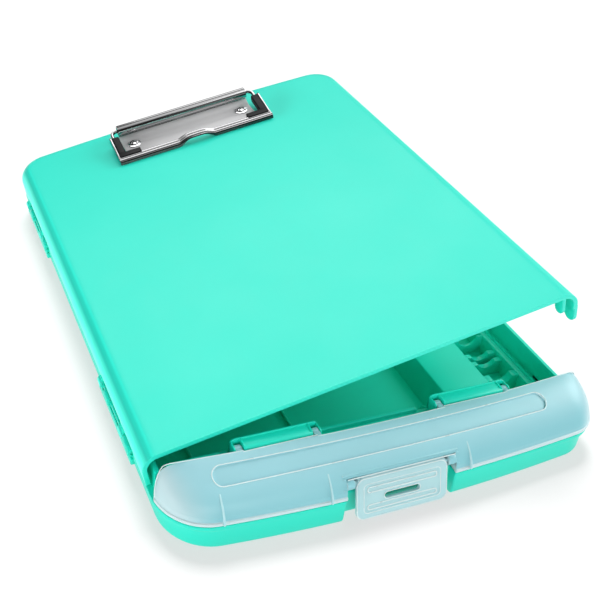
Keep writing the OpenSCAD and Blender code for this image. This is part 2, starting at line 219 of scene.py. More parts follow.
def smooth_path(pts, n=10):
    """Catmull-Rom through the points."""
    P = [Vector(p) for p in pts]
    P = [P[0] * 2 - P[1]] + P + [P[-1] * 2 - P[-2]]
    out = []
    for i in range(1, len(P) - 2):
        for k in range(n):
            t = k / n
            a, b, c, d = P[i - 1], P[i], P[i + 1], P[i + 2]
            out.append(0.5 * ((2 * b) + (c - a) * t + (2 * a - 5 * b + 4 * c - d) * t * t + (3 * b - a - 3 * c + d) * t ** 3))
    return out + [P[-2]]


def strip(name, line, thick, x0, x1, at=CLOSED, nx=2, width=0.0):
    """Bent sheet metal: a centre line in (y, z), given a thickness and drawn along X."""
    P = [Vector(p) for p in line]
    left, right = [], []
    for i, p in enumerate(P):
        t = (P[min(i + 1, len(P) - 1)] - P[max(i - 1, 0)]).normalized()
        nrm = Vector((-t.y, t.x)) * thick / 2
        left.append(tuple(p + nrm))
        right.append(tuple(p - nrm))
    poly = left + right[::-1]
    xs = np.linspace(x0, x1, nx)
    v, f = loft([[(x, y, z) for y, z in poly] for x in xs])
    ob = make(name, v, f, at)
    return bevel(ob, width, 2, 60) if width else ob


# ------------------------------------------------------------------ outlines
def bow(x, w, e0, e1):
    return e0 + e1 * (x / w) ** 2


def corner(w, e0, e1, r, s, n):
    d = math.atan(2 * e1 * (w - r * 0.9) / (w * w))
    ad = abs(d)
    xe = w - r + r * math.sin(ad)
    cx, cy = w - r, bow(xe, w, e0, e1) + s * r * math.cos(d)
    return [(cx + r * math.cos(a), cy - s * r * math.sin(a)) for a in [(math.pi / 2 - ad) * i / n for i in range(n + 1)]]


def outline(t, wl=HL, wr=HR, y0=YF, y1=YR, rl=28, rf=20, rr=20, nb=40, nc=14, notch=None, bow_f=BOW_F):
    """Closed outline, counter-clockwise from the left end of the front. notch: (half width, y)."""
    f0, r0 = y0 + t, y1 - t
    a = corner(wl - t, f0, bow_f, rl - t, 1, nc)
    b = corner(wr - t, f0, bow_f, rf - t, 1, nc)
    c = corner(wr - t, r0, -BOW_R, rr - t, -1, nc)
    d = corner(wl - t, r0, -BOW_R, rr - t, -1, nc)

    def fy(x):
        return bow(x, (wl if x < 0 else wr) - t, f0, bow_f)

    pts = [(-x, y) for x, y in a]
    xa, xb = a[-1][0], b[-1][0]
    if notch is None:
        pts += [(x, fy(x)) for x in np.linspace(-xa, xb, nb + 1)[1:-1]]
    else:
        h, ny = notch
        q = 1.0
        pts += [(x, fy(x)) for x in np.linspace(-xa, -h - q, nb // 2)[1:]]
        pts += [(-h - q + q * math.sin(u), fy(-h) + q - q * math.cos(u)) for u in (0.4, 0.8, 1.2, math.pi / 2)]
        pts += [(-h + 0.0, ny - 1.0), (-h + 0.3, ny - 0.3), (-h + 1.0, ny)]
        pts += [(x, ny) for x in np.linspace(-h + 1, h - 1, 12)[1:-1]]
        pts += [(h - 1.0, ny), (h - 0.3, ny - 0.3), (h, ny - 1.0)]
        pts += [(h + q - q * math.sin(u), fy(h) + q - q * math.cos(u)) for u in (math.pi / 2, 1.2, 0.8, 0.4)]
        pts += [(x, fy(x)) for x in np.linspace(h + q, xb, nb // 2)[:-1]]
    pts += b[::-1] + c
    xc, xd = c[-1][0], d[-1][0]
    pts += [(x, bow(x, (wl if x < 0 else wr) - t, r0, -BOW_R)) for x in np.linspace(xc, -xd, nb + 1)[1:-1]]
    pts += [(-x, y) for x, y in d[::-1]]
    return pts


def at_z(pts, z):
    return [(x, y, z) for x, y in pts]


# ------------------------------------------------------------------ materials
def nodes_of(name):
    m = bpy.data.materials.new(name)
    m.use_nodes = True
    nt = m.node_tree
    return m, nt, nt.nodes["Principled BSDF"], nt.nodes["Material Output"]


def link(nt, a, b):
    nt.links.new(a, b)


def noise(nt, scale, detail=3.0, rough=0.5, stretch=(1, 1, 1), coord="Object"):
    tc = nt.nodes.new("ShaderNodeTexCoord")
    mp = nt.nodes.new("ShaderNodeMapping")
    mp.inputs["Scale"].default_value = stretch
    link(nt, tc.outputs[coord], mp.inputs["Vector"])
    nz = nt.nodes.new("ShaderNodeTexNoise")
    nz.inputs["Scale"].default_value = scale
    nz.inputs["Detail"].default_value = detail
    nz.inputs["Roughness"].default_value = rough
    link(nt, mp.outputs["Vector"], nz.inputs["Vector"])
    return nz


def ramp(nt, fac, stops, mode="LINEAR"):
    r = nt.nodes.new("ShaderNodeValToRGB")
    r.color_ramp.interpolation = mode
    el = r.color_ramp.elements
    while len(el) < len(stops):
        el.new(0.5)
    for e, (p, c) in zip(el, stops):
        e.position = p
        e.color = (*c, 1) if len(c) == 3 else c
    link(nt, fac, r.inputs["Fac"])
    return r


def spread(nt, fac, lo, hi):
    m = nt.nodes.new("ShaderNodeMapRange")
    m.inputs["From Min"].default_value, m.inputs["From Max"].default_value = 0.3, 0.7
    m.inputs["To Min"].default_value, m.inputs["To Max"].default_value = lo, hi
    link(nt, fac, m.inputs["Value"])
    return m


def bump(nt, height, strength, distance, bsdf, previous=None):
    b = nt.nodes.new("ShaderNodeBump")
    b.inputs["Strength"].default_value = strength
    b.inputs["Distance"].default_value = distance
    link(nt, height, b.inputs["Height"])
    if previous:
        link(nt, previous.outputs["Normal"], b.inputs["Normal"])
    link(nt, b.outputs["Normal"], bsdf.inputs["Normal"])
    return b


def plastic(name, lo, hi, rough=(0.28, 0.36), grain=0.05, scale=1400.0, coat=0.0, sss=0.0, roll=None):
    """Moulded plastic: a faint cloudiness in the colour, uneven gloss and a fine moulded grain.
    roll: the way a rolled edge turns, along which painted shade and painted highlight are multiplied into the colour."""
    m, nt, b, _ = nodes_of(name)
    cloud = noise(nt, 9.0, 4.0, 0.55)
    tone = ramp(nt, cloud.outputs["Fac"], [(0.3, lo), (0.7, hi)]).outputs["Color"]
    if roll:
        # painted shade and highlight on the rolled edge: darker part way round the roll, lighter near its top and on
        # the side below
        painted_roll_light = ramp(nt, turned(nt, roll), [(q, (v, v, v)) for q, v in ((0.10, 1.0), (0.22, 1.05), (0.42, 0.80), (0.57, 0.71), (0.71, 0.88), (0.85, 1.08))], "EASE")
        mul = nt.nodes.new("ShaderNodeMix")
        mul.data_type, mul.blend_type = "RGBA", "MULTIPLY"
        mul.inputs["Factor"].default_value = 1
        link(nt, tone, mul.inputs["A"])
        link(nt, painted_roll_light.outputs["Color"], mul.inputs["B"])
        tone = mul.outputs["Result"]
    link(nt, tone, b.inputs["Base Color"])
    gl = noise(nt, 45.0, 3.0, 0.6)
    link(nt, spread(nt, gl.outputs["Fac"], *rough).outputs["Result"], b.inputs["Roughness"])
    fine = noise(nt, scale, 2.0, 0.6)
    wave = noise(nt, 24.0, 2.0, 0.5)
    w = bump(nt, wave.outputs["Fac"], 0.06, 0.0006, b)
    bump(nt, fine.outputs["Fac"], grain, 0.00006, b, w)
    b.inputs["IOR"].default_value = 1.47
    b.inputs["Coat Weight"].default_value = coat
    b.inputs["Coat Roughness"].default_value = 0.12
    if sss:
        b.inputs["Subsurface Weight"].default_value = sss
        b.inputs["Subsurface Radius"].default_value = (0.0012, 0.004, 0.003)
        b.inputs["Subsurface Scale"].default_value = 1.0
    return m


def turned(nt, axis):
    """How far the surface's own normal, in the piece's space, points along an axis."""
    tc = nt.nodes.new("ShaderNodeTexCoord")
    d = nt.nodes.new("ShaderNodeVectorMath")
    d.operation = "DOT_PRODUCT"
    link(nt, tc.outputs["Normal"], d.inputs[0])
    d.inputs[1].default_value = axis
    return d.outputs["Value"]


def maths(nt, op, a, b=None):
    x = nt.nodes.new("ShaderNodeMath")
    x.operation = op
    link(nt, a, x.inputs[0])
    if b is not None:
        if isinstance(b, (int, float)):
            x.inputs[1].default_value = b
        else:
            link(nt, b, x.inputs[1])
    return x.outputs[0]


def fade(nt, out, lo, hi, to0, to1):
    r = nt.nodes.new("ShaderNodeMapRange")
    r.interpolation_type = "SMOOTHSTEP"
    r.inputs["From Min"].default_value, r.inputs["From Max"].default_value = lo, hi
    r.inputs["To Min"].default_value, r.inputs["To Max"].default_value = to0, to1
    link(nt, out, r.inputs["Value"])
    return r.outputs["Result"]


def frosted(name, flat, highlight_and_flange_colour, transmission, rough=(0.30, 0.40), low=None, ends=False, deep=None):
    """Milky translucent plastic with painted highlights: the colour goes pale where the surface is seen edge-on and,
    with ends, where it turns round an end.
    low: heights between which the pale flange fades out."""
    m, nt, b, _ = nodes_of(name)
    cloud = noise(nt, 16.0, 4.0, 0.6, (0.5, 1.6, 1.6))
    tint = ramp(nt, cloud.outputs["Fac"], [(0.3, tuple(c * 0.97 for c in flat)), (0.7, tuple(min(1.0, c * 1.07 + 0.03) for c in flat))])
    tc = nt.nodes.new("ShaderNodeTexCoord")
    sep = nt.nodes.new("ShaderNodeSeparateXYZ")
    link(nt, tc.outputs["Object"], sep.inputs["Vector"])
    # painted highlight: the colour goes pale where the surface is seen edge-on
    edge = nt.nodes.new("ShaderNodeLayerWeight")
    edge.inputs["Blend"].default_value = 0.25
    highlight_and_flange_amount = fade(nt, edge.outputs["Facing"], 0.35, 0.95, 0.0, 0.55)
    if ends:
        # painted highlight: the colour also goes pale where the surface turns round an end
        highlight_and_flange_amount = maths(nt, "MAXIMUM", highlight_and_flange_amount, fade(nt, maths(nt, "ABSOLUTE", turned(nt, (1, 0, 0))), 0.12, 0.75, 0.0, 0.62))
    if low:
        highlight_and_flange_amount = maths(nt, "MAXIMUM", highlight_and_flange_amount, fade(nt, sep.outputs["Z"], low[0], low[1], 0.8, 0.0))
    body = tint.outputs["Color"]
    if deep:
        dm = nt.nodes.new("ShaderNodeMix")
        dm.data_type = "RGBA"
        link(nt, fade(nt, sep.outputs["Z"], 0.021, 0.034, 1.0, 0.0), dm.inputs["Factor"])
        link(nt, body, dm.inputs["A"])
        dm.inputs["B"].default_value = (*deep, 1)
        body = dm.outputs["Result"]
    mix = nt.nodes.new("ShaderNodeMix")
    mix.data_type = "RGBA"
    link(nt, highlight_and_flange_amount, mix.inputs["Factor"])
    link(nt, body, mix.inputs["A"])
    mix.inputs["B"].default_value = (*highlight_and_flange_colour, 1)
    link(nt, mix.outputs["Result"], b.inputs["Base Color"])
    gl = noise(nt, 60.0, 3.0, 0.6)
    link(nt, spread(nt, gl.outputs["Fac"], *rough).outputs["Result"], b.inputs["Roughness"])
    fine = noise(nt, 1700.0, 2.0, 0.6)
    bump(nt, fine.outputs["Fac"], 0.06, 0.00006, b)
    b.inputs["IOR"].default_value = 1.46
    b.inputs["Transmission Weight"].default_value = transmission
    return m


def metal(name, painted_reflections, rough, brushed=(1, 1, 1), strength=0.02, scale=900.0, side=1.0):
    """Plated steel with painted reflections. bands: reflection tones painted against how far a bend faces the front;
    side: tone of the ends, a darker reflection painted there.
    """
    m, nt, b, _ = nodes_of(name)
    b.inputs["Metallic"].default_value = 1.0
    # painted reflection: the steel's tone is painted by how far each surface faces the front
    front = turned(nt, (0, -1, 0))
    half = maths(nt, "ADD", maths(nt, "MULTIPLY", front, 0.5), 0.5)
    tone = ramp(nt, half, [((t + 1) / 2, (v, v, v * 1.01)) for t, v in painted_reflections])
    cloud = noise(nt, 30.0, 3.0, 0.5, brushed)
    var = ramp(nt, cloud.outputs["Fac"], [(0.3, (0.95, 0.95, 0.95)), (0.7, (1, 1, 1))])
    mul = nt.nodes.new("ShaderNodeMix")
    mul.data_type, mul.blend_type = "RGBA", "MULTIPLY"
    mul.inputs["Factor"].default_value = 1
    link(nt, tone.outputs["Color"], mul.inputs["A"])
    link(nt, var.outputs["Color"], mul.inputs["B"])
    out = mul.outputs["Result"]
    if side < 1:
        # painted reflection: the ends of each piece are painted darker
        k = fade(nt, maths(nt, "ABSOLUTE", turned(nt, tuple(REST.to_3x3() @ Vector((1, 0, 0))))), 0.45, 0.8, 1.0, side)
        m2 = nt.nodes.new("ShaderNodeMix")
        m2.data_type, m2.blend_type = "RGBA", "MULTIPLY"
        m2.inputs["Factor"].default_value = 1
        link(nt, out, m2.inputs["A"])
        cmb = nt.nodes.new("ShaderNodeCombineColor")
        for q in ("Red", "Green", "Blue"):
            link(nt, k, cmb.inputs[q])
        link(nt, cmb.outputs["Color"], m2.inputs["B"])
        out = m2.outputs["Result"]
    link(nt, out, b.inputs["Base Color"])
    gl = noise(nt, 160.0, 3.0, 0.6, brushed)
    link(nt, spread(nt, gl.outputs["Fac"], *rough).outputs["Result"], b.inputs["Roughness"])
    fine = noise(nt, scale, 2.0, 0.6, brushed)
    bump(nt, fine.outputs["Fac"], strength, 0.00004, b)
    return m


# Painted light on the cover's plastic: its paler, redder colour than the tray's stands for sheen, and the roll argument
# paints shade and highlight on the rolled edges.
GREEN_WITH_PAINTED_LIGHT = plastic("green_plastic_painted_light", (0.022, 0.790, 0.610), (0.032, 0.820, 0.640), rough=(0.32, 0.40), roll=tuple(REST.to_3x3() @ Vector((-1, 0, 0))))
GREEN_TRAY = plastic("green_tray", (0.006, 0.760, 0.570), (0.011, 0.790, 0.600), rough=(0.32, 0.40), grain=0.04)
FROST = frosted("frosted_plastic", (0.37, 0.73, 0.80), (0.80, 0.92, 0.94), 0.2, low=(0.0181, 0.0189), ends=True, deep=(0.30, 0.70, 0.77))
FROST_LATCH = frosted("frosted_latch", (0.51, 0.81, 0.85), (0.84, 0.95, 0.97), 0.22, (0.28, 0.38))
# The line material is much paler than the lid: it paints the highlights along the lid's edges and the latch's moulded
# lines.
FROST_HIGHLIGHT_LINE = frosted("frosted_highlight_line", (0.78, 0.93, 0.95), (0.95, 1.0, 1.0), 0.15, (0.25, 0.35))
# Painted reflections: each steel's tone is painted light and dark by how its surfaces face; the plate's flat part takes
# one even tone.
CHROME = metal("bright_steel", [(-1, 0.10), (-0.7, 0.50), (-0.45, 0.05), (-0.2, 0.10), (-0.08, 0.90), (0.30, 0.98), (0.45, 0.90), (0.60, 0.05), (0.75, 0.10), (0.86, 0.85), (0.95, 0.12), (1, 0.03)], (0.07, 0.13), side=0.22)
STEEL = metal("plate_steel", [(-1, 0.03), (-0.55, 0.60), (-0.3, 0.03), (-0.08, 0.30), (0.03, 0.35), (0.10, 0.55), (0.20, 0.60), (0.27, 0.05), (0.33, 0.05), (0.42, 0.80), (0.62, 0.98), (0.72, 0.62), (0.80, 0.06), (0.87, 0.06), (0.93, 0.85), (1, 0.35)], (0.12, 0.18), (1, 1, 1), 0.01, 600.0)
STEEL_FLAT = metal("plate_steel_flat", [(-1, 0.74), (1, 0.74)], (0.42, 0.5), (1, 1, 1), 0.01, 600.0)
STEEL_FLAT.node_tree.nodes["Principled BSDF"].inputs["Metallic"].default_value = 0.25
RIVET = metal("rivet_steel", [(-1, 0.15), (-0.3, 0.95), (0.0, 0.90), (0.28, 0.98), (0.5, 0.10), (0.8, 0.7), (1, 0.08)], (0.08, 0.14))
BLACK = plastic("black_grip", (0.004, 0.004, 0.0045), (0.008, 0.008, 0.009), rough=(0.42, 0.55), grain=0.25, scale=900.0)
BLACK.node_tree.nodes["Principled BSDF"].inputs["Specular IOR Level"].default_value = 0.28


def dress(ob, mat, body, slot, *stands_for):
    ob.data.materials.clear()
    ob.data.materials.append(mat)
    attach(ob, body)
    if stands_for:
        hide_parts(*stands_for)
    return ob


# ------------------------------------------------------------------ tray
def tray_shell():
    def wide(k, t, z, n=None):
        """Outer outline; k runs from the side walls (0) out to the seam lip (1)."""
        n = t if n is None else n
        return at_z(outline(t, HL - 2.7 * (1 - k), HR - 2.9 * (1 - k), notch=(NOTCH + n, -166 + n)), z)

    def inner(t, z, n=0.0):
        return at_z(outline(t, HL, CR, notch=(NOTCH + n, -166 + n)), z)

    rings = [wide(0, 3.4 - 3.4 * math.sin(q), 3.4 - 3.4 * math.cos(q), min(1.2, 1.2 - 1.2 * math.sin(q))) for q in np.radians([8, 20, 34, 48, 62, 76, 90])]
    rings += [wide(0, 0, 8.0), wide(0.05, 0, 11.6), wide(0.2, 0, 12.7), wide(0.5, 0, 13.3), wide(0.85, 0, 13.6), wide(1, 0, 14.0)]
    rings += [wide(1, 0, 15.4), wide(1, 0.2, 15.85), wide(1, 0.6, 16.0)]
    rings += [inner(STEP - 0.3, 16.0, 0.8), inner(STEP, 16.2, 1.0), inner(STEP, 22.0, 1.0), inner(STEP, 26.9, 1.0)]
    rings += [inner(STEP + 0.25, 27.5, 1.2), inner(STEP + 0.8, 27.8, 1.4), inner(STEP + 1.6, 27.8, 1.6), inner(STEP + 2.15, 27.5, 2.0), inner(STEP + 2.4, 26.9, 2.4)]
    rings += [inner(STEP + 2.4, 20.0, 2.4), inner(STEP + 2.4, 13.7, 2.4)]
    rings += [wide(0, 2.4, 13.5), wide(0, 2.4, 4.2), wide(0, 2.7, 3.0), wide(0, 3.4, 2.4), wide(0, 4.4, 2.2)]
    v, f = loft(rings)
    ob = make("tray_shell", v, f)
    # the inner wall steps down towards the front
    boolean(ob, box("c1", (-140, -200, 24), (140, -137.2, 60)))
    boolean(ob, box("c2", (-140, -200, 19), (140, -146.5, 60)))
    boolean(ob, box("c3", (-36, -200, 16.02), (36, -158, 60)))
    # finger recess
    boolean(ob, box("c4", (CR - STEP, -136.5, 9.6), (HR + 3, -120.5, 40)))
    for y0 in HINGE_Y:
        for p, q, r in ((12, 20.1, 0.4), (20, 38.5, 2.1), (48, 54.1, 2.1), (54, 60.4, 0.4)):
            boolean(ob, rod("c5", "Y", y0 + p, y0 + q, (HX, 0, HZ), KR + r, edge=0.01))
    bevel(ob, 0.3, 2, 50)
    return ob


def knuckles(which):
    obs = []
    for y0 in HINGE_Y:
        for k in which:
            obs.append(rod("k", "Y", y0 + k[0], y0 + k[1], (HX, 0, HZ), KR, PR + 0.06, 0.4))
    return obs


def tray_inside():
    obs = []
    # channel between the pen compartment and the paper compartment
    obs.append(prism("p", [(-149.2, 2), (-147, 2), (-147, 25.8), (-137.2, 25.8), (-137.2, 2), (-135, 2), (-135, 28), (-149.2, 28)],
                     "X", -111.8, 111.8, width=0.7, segments=3))
    obs.append(prism("p", [(-149.05, 2), (-147.15, 2), (-147.15, 19), (-149.05, 19)], "X", -115.4, CR - 4.4, width=0.5))
    obs.append(prism("p", [(-137.05, 2), (-135.15, 2), (-135.15, 24), (-137.05, 24)], "X", -117, CR - 4.4, width=0.5))
    for x0, x1, z in ((-112, -80.5, 29.8), (-32.6, 26, 30.5)):
        r = 1.6
        top = [(x0, 26), (x1, 26)] + [(x1 - r + r * math.cos(a), z - r + r * math.sin(a)) for a in np.radians(np.linspace(0, 90, 7))]
        top += [(x0 + r - r * math.sin(a), z - r + r * math.cos(a)) for a in np.radians(np.linspace(0, 90, 7))]
        obs.append(prism("p", top, "Y", -136.8 if x0 > -50 else -139.6, -134.9, width=0.4, segments=3, angle=50))
    # towers with a rounded top
    for s in (-1, 1):
        x0, x1 = (38, 75) if s > 0 else (-75, -38)
        arc = [(LHY + 3.7 * math.cos(a), LHZ + 3.7 * math.sin(a)) for a in np.radians(np.linspace(124, 180, 9))]
        obs.append(prism("p", [(LHY - 3.7, 27), (LHY + 4.5, 27), (LHY + 4.5, LHZ + 3.07)] + arc, "X", x0, x1, width=0.35, segments=3, angle=50))
        # raised rim round the back and the ends
        xa, xb = x0 - 4.9, x1 + 4.9
        r = 2.2
        back = [(xa, 27), (xb, 27)] + [(xb - r + r * math.cos(a), LHZ + 3.7 - r + r * math.sin(a)) for a in np.radians(np.linspace(0, 90, 8))]
        back += [(xa + r - r * math.sin(a), LHZ + 3.7 - r + r * math.cos(a)) for a in np.radians(np.linspace(0, 90, 8))]
        obs.append(prism("p", back, "Y", LHY + 3.6, LHY + 4.7, width=0.3, segments=3, angle=50))
        for x in (x0, x1 - 1.0):
            obs.append(bevel(box("p", (x, LHY - 1.9, LHZ + 2.6), (x + 1.0, LHY + 4.5, LHZ + 3.65)), 0.3, 3))
        for x in (xa, xb - 0.8):
            disc = [(LHY + 3.1 * math.cos(a), LHZ + 3.1 * math.sin(a)) for a in np.radians(np.linspace(60, 180, 13))]
            obs.append(prism("p", [(LHY - 3.1, 27), (LHY + 4.6, 27), (LHY + 4.6, LHZ + 2.7)] + disc, "X", x, x + 0.8, width=0.25, angle=50))
    for x in (-79, -64, -38, 40, 74):
        obs.append(prism("p", [(-135.2, 2), (-116, 2), (-122, 16), (-135.2, 25)], "X", x, x + 1.6, width=0.5))
    # raised platform and the pen rests
    obs.append(prism("p", [(52, 2), (60, 14), (91, 14), (91, 2), (89, 2), (89, 12), (64, 12), (56, 2)], "Y", -135.2, 20, width=0.8, segments=3))
    obs.append(prism("p", [(112, 2), (112, 14), (CR - 4.4, 14), (CR - 4.4, 12), (114, 12), (114, 2)], "Y", -135.2, 20, width=0.8, segments=3))
    obs.append(prism("p", [(115.6, 13.6), (115.6, 14.5), (116.1, 15.0), (116.8, 15.0), (117.3, 14.5), (117.3, 13.6)], "Y", -135, 20))
    obs.append(bevel(box("p", (60, 18, 2), (HR - 4.4, 20, 14)), 0.6, 3))
    for y0, y1, z in ((-113, -108, 13.6), (-97, -93.5, 12), (-90, -86.5, 12), (-76, -74, 14), (-30, -26, 13)):
        w = math.sqrt(49 - (15.5 - z) ** 2)
        a0 = math.asin((z - 15.5) / 7)
        arc = [(101.5 + 7 * math.cos(a), 15.5 + 7 * math.sin(a)) for a in np.linspace(math.pi - a0, 2 * math.pi + a0, 21)]
        obs.append(prism("p", [(90.5, 2), (90.5, z)] + arc + [(112.5, z), (112.5, 2)][0:2], "Y", y0, y1, width=0.5, angle=35))
    for x in (-90, -30):
        obs.append(prism("p", [(x, 2), (x, 3.6), (x + 0.4, 4), (x + 1, 4), (x + 1.4, 3.6), (x + 1.4, 2)], "Y", -135.2, 160))
    # block round the finger recess
    b = box("p", (CR - STEP - WALL, -140, 7.4), (HR - 4, -117, SEAM))
    boolean(b, box("c", (CR - STEP, -136.5, 9.6), (HR + 3, -120.5, 30)))
    obs.append(bevel(b, 0.4, 2))
    # hinge barrels and the rib below them
    for y0 in HINGE_Y:
        obs.append(bevel(box("p", (-HL - 1.2, y0 - 1, HZ - 7), (-HL + 3.5, y0 + 61, HZ - 3.2)), 0.6, 3))
    obs += knuckles(((0, 12), (38.5, 48)))
    # catch rib
    obs.append(bevel(box("p", (-20, -167.2, 7), (20, -165.8, 9)), 0.4, 2))
    return join("tray_fittings", obs)


# ------------------------------------------------------------------ cover
def cover_shell():
    a = np.radians(np.linspace(0, 90, 13))
    rings = [at_z(outline(0, HL, CR), SEAM + 0.6), at_z(outline(0, HL, CR), SEAM + 5)]
    rings += [at_z(outline(ROLL * (1 - math.cos(q)), HL, CR), TOP - ROLL * (1 - math.sin(q))) for q in a]
    rings += [at_z(outline(ROLL + 1.5, HL, CR), TOP)]
    v, f = loft(rings, cap0=False)
    ob = make("cover_shell", v, f)
    bm = bmesh.new()
    bm.from_mesh(ob.data)
    bmesh.ops.bisect_plane(bm, geom=bm.verts[:] + bm.edges[:] + bm.faces[:], plane_co=(0, COV_Y * MM, 0), plane_no=(0, -1, 0), clear_outer=True, dist=1e-7)
    side = [f_ for f_ in bm.faces if f_.calc_center_median().x > (CR - 13) * MM]
    geom = list({e for f_ in side for e in f_.edges}) + side + list({v_ for f_ in side for v_ in f_.verts})
    bmesh.ops.bisect_plane(bm, geom=geom, plane_co=(0, 0, 22 * MM), plane_no=(0, 0, 1), dist=1e-7)
    side = [f_ for f_ in bm.faces if f_.calc_center_median().x > (CR - 13) * MM]
    geom = list({e for f_ in side for e in f_.edges}) + side + list({v_ for f_ in side for v_ in f_.verts})
    bmesh.ops.bisect_plane(bm, geom=geom, plane_co=(0, 140 * MM, 0), plane_no=(0, 1, 0), dist=1e-7)
    gone = [f_ for f_ in bm.faces if f_.calc_center_median().x > (CR - 13) * MM and f_.calc_center_median().z < 22 * MM and f_.calc_center_median().y < 140 * MM]
    bmesh.ops.delete(bm, geom=gone, context="FACES")
    bmesh.ops.recalc_face_normals(bm, faces=bm.faces)
    if sum(f_.normal.z for f_ in bm.faces if f_.calc_area() > 0.01) < 0:
        bmesh.ops.reverse_faces(bm, faces=bm.faces)
    bm.to_mesh(ob.data)
    bm.free()
    solidify(ob, WALL)
    for y0 in HINGE_Y:
        for p, q, r in ((-0.5, 12.3, KR + 0.9), (20, 54, KR + 1.9), (60, 60.8, KR + 0.4)):
            boolean(ob, rod("c", "Y", y0 + p, y0 + q, (HX, 0, HZ), r, edge=0.01))
    bevel(ob, 0.45, 3, 50)
    ob.data.transform(REST)
    return ob


def tongue(x0, x1, y0, y1, z0, z1):
    r = (y1 - y0) / 2
    c = (y0 + y1) / 2
    arc = [(c + r * math.cos(a), z0 + r + r * math.sin(a)) for a in np.linspace(math.pi, 2 * math.pi, 21)]
    return prism("p", arc + [(y1, z1), (y0, z1)], "X", x0, x1, width=0.55, segments=3, angle=45)


def cover_fittings():
    obs = knuckles(((12.3, 20), (54, 60)))
    obs.append(tongue(CR - 1.7, CR + 0.7, -133.9, -125.5, 11.8, 24))
    obs.append(tongue(CR - 9.7, CR - 7.5, -133.9, -127.3, 20.6, 33))
    ob = join("cover_fittings", obs)
    ob.data.transform(REST)
    return ob


# ------------------------------------------------------------------ compartment lid
def groove_depth(x, y):
    g = 95 - 4.7
    gy = bow(x, 123, -155.3, 4.5)
    if abs(x) <= g:
        d = abs(y - gy)
    else:
        ge = bow(g, 123, -155.3, 4.5)
        d = math.hypot(abs(x) - g, y - ge)
    # 1 inside, 0 outside, over a narrow wall
    t = min(1.0, max(0.0, (4.95 - d) / 0.55))
    return t * t * (3 - 2 * t)


def lid_point(a, t=0.0):
    """Height and set-back of the lid's profile at angle a: a tight roll low down, a flatter slope above it."""
    q = math.radians(a)
    z0 = SEAM + 0.3
    z = z0 + (LID_TOP - t - z0) * math.sin(q)
    if a > 14:
        k = (a - 14) / 76
        z -= 1.25 * math.sin(math.pi * k ** 0.62) ** 1.0
    return z, (27 - t) * (1 - math.cos(q)), (8 - t / 2) * (1 - math.cos(q))


def lid_form(t, low):
    wl, wr = HL - 0.2, HR + 0.8

    def ring(T, y0, z):
        a = corner(wl - T, y0 + T, BOW_F, 28 - T, 1, 22)
        b = corner(wr - T, y0 + T, BOW_F, 20 - T, 1, 18)

        def fy(x):
            return bow(x, (wl if x < 0 else wr) - T, y0 + T, BOW_F)

        pts = [(-(wl - T), -130.0), (-(wl - T), -136.0)] + [(-x, y) for x, y in a]
        pts += [(x, fy(x)) for x in np.linspace(-a[-1][0], b[-1][0], 92)[1:-1]]
        pts += b[::-1] + [((wr - T), -136.0), ((wr - T), -130.0)]
        return at_z(pts, z)

    if low < 15:
        rings = [ring(t, YF, low), ring(t, YF, SEAM + 3)]
    else:
        rings = [ring(0.25, YF, SEAM + 0.3), ring(0, YF, SEAM + 0.55), ring(0, YF, SEAM + 1.9), ring(0.12, YF, SEAM + 2.15), ring(0.5, YF + 0.1, SEAM + 2.35), ring(0.62, YF + 0.15, SEAM + 2.8)]
    for a in [10, 12, 14, 15.5, 17, 19, 21, 23, 25.5, 28, 31, 34, 38, 42, 46, 50, 54, 58, 62, 66, 70, 74, 78, 82, 86, 90]:
        z, f, e = lid_point(a, t)
        s_ = 0.0 if t else max(0.0, 0.6 * (1 - (a - 10) / 25))
        rings.append(ring(t + e + s_, YF + f - e, z))
    v, f = loft(rings)
    return make("lid_form", v, f, sharp=60)


def lid_plan(t, z0, z1):
    wl, wr = HL - 0.2 - t, HR + 0.8 - t
    pts = [(-wl, -190), (wr, -190)]
    pts += [(wr - 4 + 4 * math.cos(a), -143.5 + 4 * math.sin(a) - t) for a in np.radians(np.linspace(0, 90, 10))]
    pts += [(x, bow(x, 123, LID_RY, 5.4) - t) for x in np.linspace(wr - 4, -wl + 6, 46)[1:-1]]
    pts += [(-wl + 6 - 6 * math.cos(a), -145.8 + 6 * math.sin(a) - t) for a in np.radians(np.linspace(90, 0, 10))]
    return prism("c", pts, "Z", z0, z1)


def groove_path(half, r, n=40):
    """Bowed stadium outline in (x, y)."""
    def gy(x):
        return bow(x, 123, -155.3, 4.5)
    g = 95 - 4.7
    pts = [(x, gy(x) - r) for x in np.linspace(-g, g, n)]
    pts += [(g + r * math.cos(a), gy(g) + r * math.sin(a)) for a in np.radians(np.linspace(-90, 90, 15))[1:-1]]
    pts += [(x, gy(x) + r) for x in np.linspace(g, -g, n)]
    pts += [(-g + r * math.cos(a), gy(g) + r * math.sin(a)) for a in np.radians(np.linspace(90, 270, 15))[1:-1]]
    return pts


def lid_height(x, y):
    """Top surface of the lid over (x, y)."""
    wl, wr = HL - 0.2, HR + 0.8
    w = wl if x < 0 else wr
    lo, hi = 8.0, 90.0
    for _ in range(24):
        m = (lo + hi) / 2
        z, f, e = lid_point(m)
        if abs(x) < w - e and bow(x, w - e, YF + f, BOW_F) < y:
            lo = m
        else:
            hi = m
    return lid_point(lo)[0]


